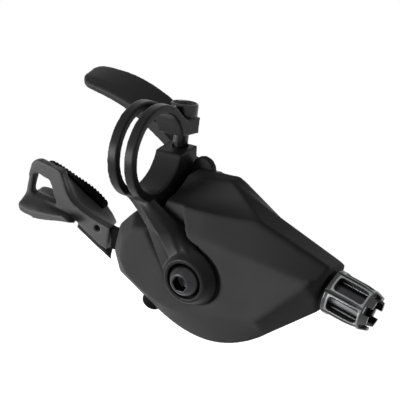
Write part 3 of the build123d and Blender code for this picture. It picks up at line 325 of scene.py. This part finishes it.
def voxelled(
    mesh: bmesh.types.BMesh, voxel: float, cutter: bmesh.types.BMesh | None = None
) -> bmesh.types.BMesh:
    """Remesh a closed shape to an even grid of faces, after cutting another shape out of it.

    Args:
        mesh: The closed shape; it is freed.
        voxel: Size of a face.
        cutter: Shape to cut away; it is freed.

    Returns:
        The even mesh.
    """
    mesh.transform(GRID_TURN)
    blanks = [stand_in("blank", mesh)]
    if cutter is not None:
        cutter.transform(GRID_TURN)
        blanks.append(stand_in("cutter", cutter))
        cut = blanks[0].modifiers.new("cut", "BOOLEAN")
        cut.operation = "DIFFERENCE"
        cut.solver = "EXACT"
        cut.object = blanks[1]
    modifier = blanks[0].modifiers.new("even", "REMESH")
    modifier.mode = "VOXEL"
    modifier.voxel_size = voxel * MM
    graph = bpy.context.evaluated_depsgraph_get()
    even = bmesh.new()
    even.from_object(blanks[0], graph)
    even.transform(GRID_TURN.inverted())
    for blank in blanks:
        bpy.data.meshes.remove(blank.data)
    return even


def smooth(mesh: bmesh.types.BMesh, verts: Iterable[bmesh.types.BMVert], passes: int) -> None:
    """Even out a surface.

    Args:
        mesh: The shape to change.
        verts: Those of its points that move.
        passes: Rounds of smoothing.
    """
    every_way = {"use_axis_x": True, "use_axis_y": True, "use_axis_z": True}
    for _ in range(passes):
        bmesh.ops.smooth_vert(mesh, verts=verts, factor=SMOOTH_STEP, **every_way)


def round_edges(
    mesh: bmesh.types.BMesh, edges: list[bmesh.types.BMEdge], width: float, segments: int
) -> None:
    """Round off edges of a shape.

    Args:
        mesh: The shape to change.
        edges: Its edges to round.
        width: Width of the rounding on each side of an edge.
        segments: Faces across the rounding.
    """
    bmesh.ops.bevel(
        mesh,
        geom=edges,
        offset=width * MM,
        offset_type="OFFSET",
        segments=segments,
        profile=0.5,
        affect="EDGES",
        material=-1,
        clamp_overlap=True,
    )


@dataclass(frozen=True)
class Softness:
    """How a casting is softened all over.

    Attributes:
        voxel: Size of the even faces.
        passes: Rounds of smoothing.
    """

    voxel: float
    passes: int


@dataclass(frozen=True)
class Dish:
    """A round hollow pressed into a thin face.

    Attributes:
        middle: Middle of the hollow.
        radius: How far it reaches.
        push: Way and depth that the middle moves.
    """

    middle: Point
    radius: float
    push: Point

    def press(self, mesh: bmesh.types.BMesh) -> None:
        """Press the hollow, fading out to its rim.

        Args:
            mesh: The shape to change.
        """
        middle = Vector(self.middle) * MM
        reach = self.radius * MM
        for vert in mesh.verts:
            share = (vert.co - middle).length / reach
            if share < 1.0:
                vert.co += Vector(self.push) * MM * (1.0 - share**2) ** 2


@dataclass(frozen=True)
class Rounding:
    """A place where the edges are rounder than elsewhere on a casting.

    Attributes:
        middle: Middle of the place.
        radius: How far it reaches.
        passes: Rounds of smoothing.
    """

    middle: Point
    radius: float
    passes: int

    def press(self, mesh: bmesh.types.BMesh) -> None:
        """Round the edges of the place.

        Args:
            mesh: The shape to change.
        """
        middle = Vector(self.middle) * MM
        smooth(mesh, [v for v in mesh.verts if (v.co - middle).length < self.radius * MM], self.passes)


@dataclass
class Dresser:
    """Makes visual pieces from CAD nodes and gives every node its finish.

    Attributes:
        materials: The material of each slot.
        flat: Angle up to which a machined node's triangles are joined to flat faces.
        sharp: Angle above which a machined node's edges are broken.
        edge_segments: Faces across a broken edge.
        machined_crease: Angle above which an edge of a machined piece shades sharp.
        cast_crease: The same for a casting, which has no sharp edge.
    """

    materials: dict[str, bpy.types.Material]
    flat: float = 1.0
    sharp: float = 30.0
    edge_segments: int = 2
    machined_crease: float = 40.0
    cast_crease: float = 180.0

    def dress_node(self, node: str) -> None:
        """Give a CAD node that stays in view the material of its slot.

        Args:
            node: CAD node's name.
        """
        data = frame["nodes"][node].data
        data.materials.clear()
        data.materials.append(self.materials[slot_of(node)])

    def piece(self, name: str, mesh: bmesh.types.BMesh, node: str, crease: float) -> bpy.types.Object:
        """Turn a bmesh into a piece that stands for a CAD node.

        Args:
            name: Name of the piece.
            mesh: Its shape; it is freed.
            node: CAD node that it replaces.
            crease: Angle above which an edge shades sharp.

        Returns:
            The piece, riding on the node's body.
        """
        made = stand_in(name, mesh)
        data = made.data
        data.polygons.foreach_set("use_smooth", [True] * len(data.polygons))
        data.set_sharp_from_angle(angle=radians(crease))
        data.materials.append(self.materials[slot_of(node)])
        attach(made, body_of(node))
        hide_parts(node)
        log.info("%s: %d faces", name, len(data.polygons))
        return made

    def paint_shade_or_highlight(self, made: bpy.types.Object, slot: str, chosen: FaceTest) -> None:
        """Paint some faces of a piece with another slot's material, as painted shade or painted highlight.

        Args:
            made: The piece.
            slot: Slot whose material paints the faces.
            chosen: Says which faces take it.
        """
        made.data.materials.append(self.materials[slot])
        for polygon in made.data.polygons:
            if chosen(polygon):
                polygon.material_index = len(made.data.materials) - 1

    def casting(
        self,
        name: str,
        node: str,
        softness: Softness,
        cutter: bmesh.types.BMesh | None = None,
        touches: tuple[Dish | Rounding, ...] = (),
    ) -> bpy.types.Object:
        """Soften a node as a casting or moulding, with every edge rounded.

        Args:
            name: Name of the piece.
            node: CAD node that it replaces.
            softness: How far it is softened.
            cutter: Shape to cut away first; it is freed.
            touches: Hollows and roundings to press in.

        Returns:
            The piece.
        """
        mesh = voxelled(merged(node), softness.voxel, cutter)
        for touch in touches:
            touch.press(mesh)
        smooth(mesh, mesh.verts, softness.passes)
        return self.piece(name, mesh, node, self.cast_crease)

    def turning(self, name: str, node: str, edge: float) -> bpy.types.Object:
        """Break the sharp edges of a machined node.

        Args:
            name: Name of the piece.
            node: CAD node that it replaces.
            edge: Width of the broken edge.

        Returns:
            The piece.
        """
        mesh = merged(node)
        bmesh.ops.dissolve_limit(mesh, angle_limit=radians(self.flat), verts=mesh.verts, edges=mesh.edges)
        paired = [line for line in mesh.edges if len(line.link_faces) == 2]
        sharp = [line for line in paired if line.calc_face_angle(0.0) > radians(self.sharp)]
        round_edges(mesh, sharp, edge, self.edge_segments)
        return self.piece(name, mesh, node, self.machined_crease)


@dataclass
class Body:
    """The painted case and the cover on its far side.

    Attributes:
        case: How far the case is softened.
        cover: How far the cover is softened.
    """

    case: Softness = Softness(0.43, 9)
    cover: Softness = Softness(0.4, 5)

    def build(self, dresser: Dresser) -> None:
        """Make the case and the cover.

        Args:
            dresser: Makes the pieces.
        """
        dresser.casting("case_body", "main_case", self.case)
        dresser.casting("rear_cover", "far_cover", self.cover)


@dataclass
class Clamp:
    """The handlebar band with its arm, the pinch bolt and the screw in the arm's boss.

    Attributes:
        band: How far the band and the arm are softened.
        screw_edge: Width of the broken edges of the bolt and the screw.
        socket: Radius within which the pinch bolt's faces get painted shade, for its socket.
    """

    band: Softness = Softness(0.25, 7)
    screw_edge: float = 0.2
    socket: float = 1.9

    def build(self, dresser: Dresser) -> None:
        """Make the band, the bolt and the screw.

        Args:
            dresser: Makes the pieces.
        """
        dresser.casting("band_and_arm", "clamp_bracket", self.band)
        bolt = dresser.turning("pinch_bolt", "clamp_bolt", self.screw_edge)
        low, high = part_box("clamp_bolt")
        middle = (Vector(low) + Vector(high)) / 2
        # Painted shade on the bolt's faces near its axis, where the socket lies in shade.
        dresser.paint_shade_or_highlight(bolt, "seal_rubber", lambda face: (face.center - middle).xy.length < self.socket * MM)
        dresser.turning("boss_screw", "bracket_screw", self.screw_edge)


@dataclass
class ThumbPaddle:
    """The main lever with its thumb paddle.

    Attributes:
        paddle: How far the lever is softened.
    """

    paddle: Softness = Softness(0.3, 8)

    def build(self, dresser: Dresser) -> None:
        """Make the lever.

        Args:
            dresser: Makes the piece.
        """
        dresser.casting("thumb_paddle", "main_lever", self.paddle)


@dataclass
class ReleasePaddle:
    """The release lever, a moulding with painted shade on its tongue and on its arm's lower flank.

    Attributes:
        paddle: How far the lever is softened.
        lean: Hollow that leans the frame's top back, so that the pad's ribs show over it.
        frame_top: Rounding of the frame's top.
        wing_end: Rounding of the finger wing's end.
        arm_corner: Rounding of the arm's lower corner.
        tongue_start: Place along x from which the tongue gets painted shade.
        flank_start: Place along x from which the arm's lower flank gets painted shade.
        flank_top: Upper limit of that flank along z.
        flank_near: Limit of that flank along y, towards the camera.
        flank_rise: Largest upward part of that flank's normal.
    """

    paddle: Softness = Softness(0.28, 9)
    lean: Dish = Dish((-40.5, 11.5, -15.5), 7.0, (0.0, 0.0, -1.6))
    frame_top: Rounding = Rounding((-43.0, 9.6, -16.0), 5.0, 25)
    wing_end: Rounding = Rounding((-48.5, 7.0, -29.0), 8.0, 50)
    arm_corner: Rounding = Rounding((-19.6, 9.6, -41.0), 5.0, 40)
    tongue_start: float = -18.9
    flank_start: float = -33.0
    flank_top: float = -31.0
    flank_near: float = 8.2
    flank_rise: float = -0.25

    def build(self, dresser: Dresser) -> None:
        """Make the lever and paint shade on its tongue and on its arm's lower flank.

        Args:
            dresser: Makes the piece.
        """
        touches = (self.lean, self.frame_top, self.wing_end, self.arm_corner)
        paddle = dresser.casting("release_paddle", "release_lever", self.paddle, touches=touches)
        # Painted shade on the tongue, which sits back in shadow, and on the arm's downward flank, which
        # faces away from the light.
        dresser.paint_shade_or_highlight(paddle, "seal_rubber", self.gets_painted_shade)

    def gets_painted_shade(self, polygon: bpy.types.MeshPolygon) -> bool:
        """Say whether a face gets painted shade.

        Args:
            polygon: The face.

        Returns:
            True on the tongue and on the lower flank of the arm.
        """
        x, y, z = polygon.center / MM
        low = z < self.flank_top and polygon.normal.z < self.flank_rise
        return x > self.tongue_start or (x > self.flank_start and y > self.flank_near and low)


@dataclass
class Adjuster:
    """The cable adjuster's cage and core, in the frame of its own joint.

    Attributes:
        cage: How far the cage is softened.
        core_edge: Width of the core's broken edges.
        radius: Outer radius of the cage.
        count: Number of windows.
        window: Length, width and depth of a window.
        window_middle: Distance of a window's middle from the nose.
        corner: Rounding of a window's corners.
        groove: Length, width and depth of the groove between two window frames.
        groove_middle: Distance of a groove's middle from the nose.
        groove_corner: Rounding of a groove's corners.
        corner_segments: Faces round a corner.
        rim: Width of the painted highlight rim round a window.
        bore: Radius inside which the core gets painted shade.
        strip: Angle of the painted highlight strip along the core, where the core keeps its own slot's
            material.
        strip_half: Half the painted highlight strip's angle.
        upright: Least part of an edge's direction that points outwards on a corner of a window.
        end_facing: Least part of a normal that points along the axis on the core's end.
        inner_facing: Least part of a normal that points at the axis inside the cage, where faces get painted
            shade.
        outer_facing: Least part of a normal that points outwards on a painted highlight rim.
    """

    cage: Softness = Softness(0.14, 3)
    core_edge: float = 0.1
    radius: float = 6.2
    count: int = 6
    window: Point = (9.0, 4.3, 5.0)
    window_middle: float = 6.4
    corner: float = 0.9
    groove: Point = (11.0, 0.5, 1.1)
    groove_middle: float = 5.6
    groove_corner: float = 0.15
    corner_segments: int = 3
    rim: float = 0.5
    bore: float = 3.0
    strip: float = 183.0
    strip_half: float = 11.0
    upright: float = 0.9
    end_facing: float = 0.7
    inner_facing: float = 0.5
    outer_facing: float = 0.4

    def __post_init__(self) -> None:
        """Set the direction that angles start from and the angle between two windows."""
        self.start = Vector((0.0, 1.0, 0.0))
        self.step = FULL_TURN / self.count

    def build(self, dresser: Dresser) -> None:
        """Make the cage and the core, with painted shade and painted highlights on them.

        Args:
            dresser: Makes the pieces.
        """
        cage = dresser.casting("barrel_cage", "adjuster_barrel", self.cage, cutter=self.openings())
        # Painted shade on the inside of the cage.
        dresser.paint_shade_or_highlight(cage, "seal_rubber", self.cage_painted_shade)
        # Painted highlight rims round the windows.
        dresser.paint_shade_or_highlight(cage, "bright_metal", self.on_painted_highlight_rim)
        core = dresser.turning("barrel_core", "adjuster_core", self.core_edge)
        # Darker steel off the strip leaves a painted highlight strip along the core.
        dresser.paint_shade_or_highlight(core, "dark_steel", self.plain)
        # Painted shade on the core's end and bore.
        dresser.paint_shade_or_highlight(core, "seal_rubber", self.in_painted_shade)

    def spot(self, along: float, angle: float) -> Matrix:
        """Place something on the cage's outside.

        Args:
            along: Distance from the nose.
            angle: Degrees round the axis, from +Y.

        Returns:
            The place, with x along the axis and z outwards.
        """
        outward = Matrix.Rotation(radians(angle), 3, ADJUSTER_AXIS) @ self.start
        across = outward.cross(ADJUSTER_AXIS)
        turn = Matrix((ADJUSTER_AXIS, across, outward)).transposed().to_4x4()
        middle = ADJUSTER_NOSE + (ADJUSTER_AXIS * along + outward * self.radius) * MM
        return Matrix.Translation(middle) @ turn

    def block(self, mesh: bmesh.types.BMesh, place: Matrix, size: Point, corner: float) -> None:
        """Add a block with rounded corners, seen from outside.

        Args:
            mesh: Where to add it.
            place: Its middle.
            size: Length, width and depth.
            corner: Rounding of the corners.
        """
        scale = Matrix.Diagonal((*(side * MM for side in size), 1.0))
        made = bmesh.ops.create_cube(mesh, size=1.0, matrix=place @ scale)
        outward = place.to_3x3() @ Vector((0.0, 0.0, 1.0))
        corners = []
        for line in dict.fromkeys(line for vert in made["verts"] for line in vert.link_edges):
            first, second = (vert.co for vert in line.verts)
            if abs((second - first).normalized().dot(outward)) > self.upright:
                corners.append(line)
        round_edges(mesh, corners, corner, self.corner_segments)

    def openings(self) -> bmesh.types.BMesh:
        """Make what is cut out of the cage.

        Returns:
            The windows, and the grooves between their frames.
        """
        mesh = bmesh.new()
        for index in range(self.count):
            window = self.spot(self.window_middle, index * self.step)
            self.block(mesh, window, self.window, self.corner)
            between = self.spot(self.groove_middle, (index + 0.5) * self.step)
            self.block(mesh, between, self.groove, self.groove_corner)
        return mesh

    def from_axis(self, polygon: bpy.types.MeshPolygon) -> Vector:
        """Say which way and how far a face lies from the axis."""
        offset = polygon.center - ADJUSTER_NOSE
        return offset - ADJUSTER_AXIS * offset.dot(ADJUSTER_AXIS)

    def angle(self, polygon: bpy.types.MeshPolygon) -> float:
        """Say how many degrees round the axis a face lies, from +Y."""
        outward = self.from_axis(polygon)
        quarter = ADJUSTER_AXIS.cross(self.start)
        return degrees(atan2(outward.dot(quarter), outward.dot(self.start))) % FULL_TURN

    def cage_painted_shade(self, polygon: bpy.types.MeshPolygon) -> bool:
        """Say whether a face of the cage looks at the axis, inside the cage, and gets painted shade."""
        return polygon.normal.dot(self.from_axis(polygon).normalized()) < -self.inner_facing

    def on_painted_highlight_rim(self, polygon: bpy.types.MeshPolygon) -> bool:
        """Say whether a face of the cage is on the painted highlight rim of a window.

        Args:
            polygon: The face.

        Returns:
            True on the outside, within the painted highlight rim's width of a window.
        """
        outward = self.from_axis(polygon)
        half_step = self.step / 2
        off_window = (self.angle(polygon) + half_step) % self.step - half_step
        across = abs(radians(off_window)) * outward.length / MM
        along = abs((polygon.center - ADJUSTER_NOSE).dot(ADJUSTER_AXIS) / MM - self.window_middle)
        outside = polygon.normal.dot(outward.normalized()) > self.outer_facing
        return outside and across < self.window[1] / 2 + self.rim and along < self.window[0] / 2 + self.rim

    def plain(self, polygon: bpy.types.MeshPolygon) -> bool:
        """Say whether a face of the core lies off its painted highlight strip, and so takes the darker
        steel.
        """
        return abs(self.angle(polygon) - self.strip) > self.strip_half

    def in_painted_shade(self, polygon: bpy.types.MeshPolygon) -> bool:
        """Say whether a face of the core is its end or its bore, which get painted shade."""
        at_end = polygon.normal.dot(ADJUSTER_AXIS) > self.end_facing
        return at_end or self.from_axis(polygon).length < self.bore * MM


@dataclass(frozen=True)
class Stand:
    """A place round the studio's target.

    Attributes:
        azimuth: Angle round the vertical, from +X.
        elevation: Angle above the level.
        distance: Distance from the target.
    """

    azimuth: float
    elevation: float
    distance: float = 650.0

    def carry(self, thing: bpy.types.Object, target: Point) -> None:
        """Put a lamp or the camera on the stand, pointing at the target.

        Args:
            thing: The lamp or the camera.
            target: What it points at.
        """
        turn, lift = radians(self.azimuth), radians(self.elevation)
        way = Vector((cos(lift) * cos(turn), cos(lift) * sin(turn), sin(lift)))
        thing.location = (Vector(target) + way * self.distance) * MM
        thing.rotation_euler = (-way).to_track_quat("-Z", "Y").to_euler()


@dataclass(frozen=True)
class Softbox:
    """A square studio lamp.

    Attributes:
        name: Name of the lamp.
        stand: Where it stands.
        side: Length of a side.
        power: Watts.
        mirrored: Whether glossy surfaces show it.
    """

    name: str
    stand: Stand
    side: float
    power: float
    mirrored: bool = True

    def hang(self, target: Point) -> None:
        """Make the lamp.

        Args:
            target: What it points at.
        """
        data = bpy.data.lights.new(self.name, "AREA")
        data.shape = "SQUARE"
        data.size = self.side * MM
        data.energy = self.power
        lamp = bpy.data.objects.new(self.name, data)
        bpy.context.scene.collection.objects.link(lamp)
        lamp.visible_glossy = self.mirrored
        self.stand.carry(lamp, target)


@dataclass
class Studio:
    """Floor, world, lamps and the photograph's camera.

    Attributes:
        target: What the camera and the lamps point at.
        viewpoint: Where the camera stands.
        lens: Focal length.
        sensor: Width of the film.
        nearest: Distance from which the camera sees things.
        floor_drop: Height of the floor below the origin.
        floor_half: Half the floor's side.
        floor_grey: Tone of the floor as it takes light and shadow.
        floor_glow: White that the floor adds to what the camera and mirrors see of it.
        ambient: Strength of the world as light on the object.
        white: Colour of the world and of the floor's glow.
        softboxes: A key at the left front, weak lamps at the left, above and right, and two behind.
    """

    target: Point = (14.97, 2.94, -12.21)
    viewpoint: Stand = Stand(-57.5, 24.5, 600.0)
    lens: float = 199.3
    sensor: float = 36.0
    nearest: float = 10.0
    floor_drop: float = 130.0
    floor_half: float = 170.0
    floor_grey: float = 0.85
    floor_glow: float = 0.9
    ambient: float = 0.11
    white: tuple[float, float, float, float] = (1.0, 1.0, 1.0, 1.0)
    softboxes: tuple[Softbox, ...] = (
        Softbox("key", Stand(-125.6, 3.45), 240.0, 4.2),
        Softbox("left_panel", Stand(-158.5, -14.65), 200.0, 0.7),
        Softbox("upper_left", Stand(-123.7, 44.15), 200.0, 0.15),
        Softbox("right", Stand(17.9, 11.55), 200.0, 0.35, mirrored=False),
        Softbox("back", Stand(78.1, -5.9), 300.0, 2.6, mirrored=False),
        Softbox("back_left", Stand(142.4, -5.8), 240.0, 1.4, mirrored=False),
    )

    def camera(self) -> None:
        """Place the camera at the photograph's viewing angle."""
        data = bpy.data.cameras.new("photo_camera")
        data.lens = self.lens
        data.sensor_width = self.sensor
        data.sensor_fit = "HORIZONTAL"
        data.clip_start = self.nearest * MM
        view = bpy.data.objects.new("photo_camera", data)
        bpy.context.scene.collection.objects.link(view)
        self.viewpoint.carry(view, self.target)
        bpy.context.scene.camera = view

    def floor(self) -> None:
        """Lay a plain pale floor that the camera sees as white."""
        mesh = bmesh.new()
        bmesh.ops.create_grid(mesh, x_segments=1, y_segments=1, size=self.floor_half * MM)
        bmesh.ops.translate(mesh, vec=Vector((0.0, 0.0, -self.floor_drop * MM)), verts=mesh.verts)
        ground = stand_in("floor", mesh)
        ground.data.materials.append(self.paper())

    def paper(self) -> bpy.types.Material:
        """Make the floor's material.

        Returns:
            Pale paper that reads as white to the camera, to mirrors and through glass, and takes a shadow.
        """
        made = bpy.data.materials.new("floor_paper")
        made.use_nodes = True
        nodes = made.node_tree.nodes
        links = made.node_tree.links
        nodes.remove(nodes["Principled BSDF"])
        matt = nodes.new("ShaderNodeBsdfDiffuse")
        matt.inputs["Color"].default_value = (self.floor_grey, self.floor_grey, self.floor_grey, 1.0)
        glow = nodes.new("ShaderNodeEmission")
        glow.inputs["Color"].default_value = self.white
        links.new(self.seen(made.node_tree, 0.0, self.floor_glow), glow.inputs["Strength"])
        both = nodes.new("ShaderNodeAddShader")
        links.new(matt.outputs["BSDF"], both.inputs[0])
        links.new(glow.outputs["Emission"], both.inputs[1])
        links.new(both.outputs["Shader"], nodes["Material Output"].inputs["Surface"])
        return made

    @staticmethod
    def seen(tree: bpy.types.NodeTree, lit: float, shown: float) -> bpy.types.NodeSocket:
        """Tell rays that show the background from rays that carry light.

        Args:
            tree: Nodes of the floor or the world.
            lit: Strength for rays that carry light.
            shown: Strength for camera, glossy and transmission rays.

        Returns:
            A socket with the strength.
        """
        path = tree.nodes.new("ShaderNodeLightPath")
        either = path.outputs["Is Camera Ray"]
        for kind in ("Is Glossy Ray", "Is Transmission Ray"):
            most = tree.nodes.new("ShaderNodeMath")
            most.operation = "MAXIMUM"
            tree.links.new(either, most.inputs[0])
            tree.links.new(path.outputs[kind], most.inputs[1])
            either = most.outputs["Value"]
        strength = tree.nodes.new("ShaderNodeMapRange")
        strength.inputs["To Min"].default_value = lit
        strength.inputs["To Max"].default_value = shown
        tree.links.new(either, strength.inputs["Value"])
        return strength.outputs["Result"]

    def world(self) -> None:
        """Set a dim even world that is white to the camera."""
        sky = bpy.data.worlds.new("studio_air")
        bpy.context.scene.world = sky
        sky.use_nodes = True
        back = sky.node_tree.nodes["Background"]
        back.inputs["Color"].default_value = self.white
        sky.node_tree.links.new(self.seen(sky.node_tree, self.ambient, 1.0), back.inputs["Strength"])

    def build(self) -> None:
        """Set up everything round the object."""
        self.camera()
        self.floor()
        self.world()
        for softbox in self.softboxes:
            softbox.hang(self.target)
        bpy.context.scene.view_settings.view_transform = "Standard"


def main() -> None:
    """Dress the shifter and set up the studio."""
    logging.basicConfig(level=logging.INFO)
    dresser = Dresser({slot: finish.material() for slot, finish in FINISHES.items()})
    for node in frame["nodes"]:
        dresser.dress_node(node)
    for assembly in (Body(), Clamp(), ThumbPaddle(), ReleasePaddle(), Adjuster()):
        assembly.build(dresser)
    Studio().build()


if __name__ == "__main__":
    main()
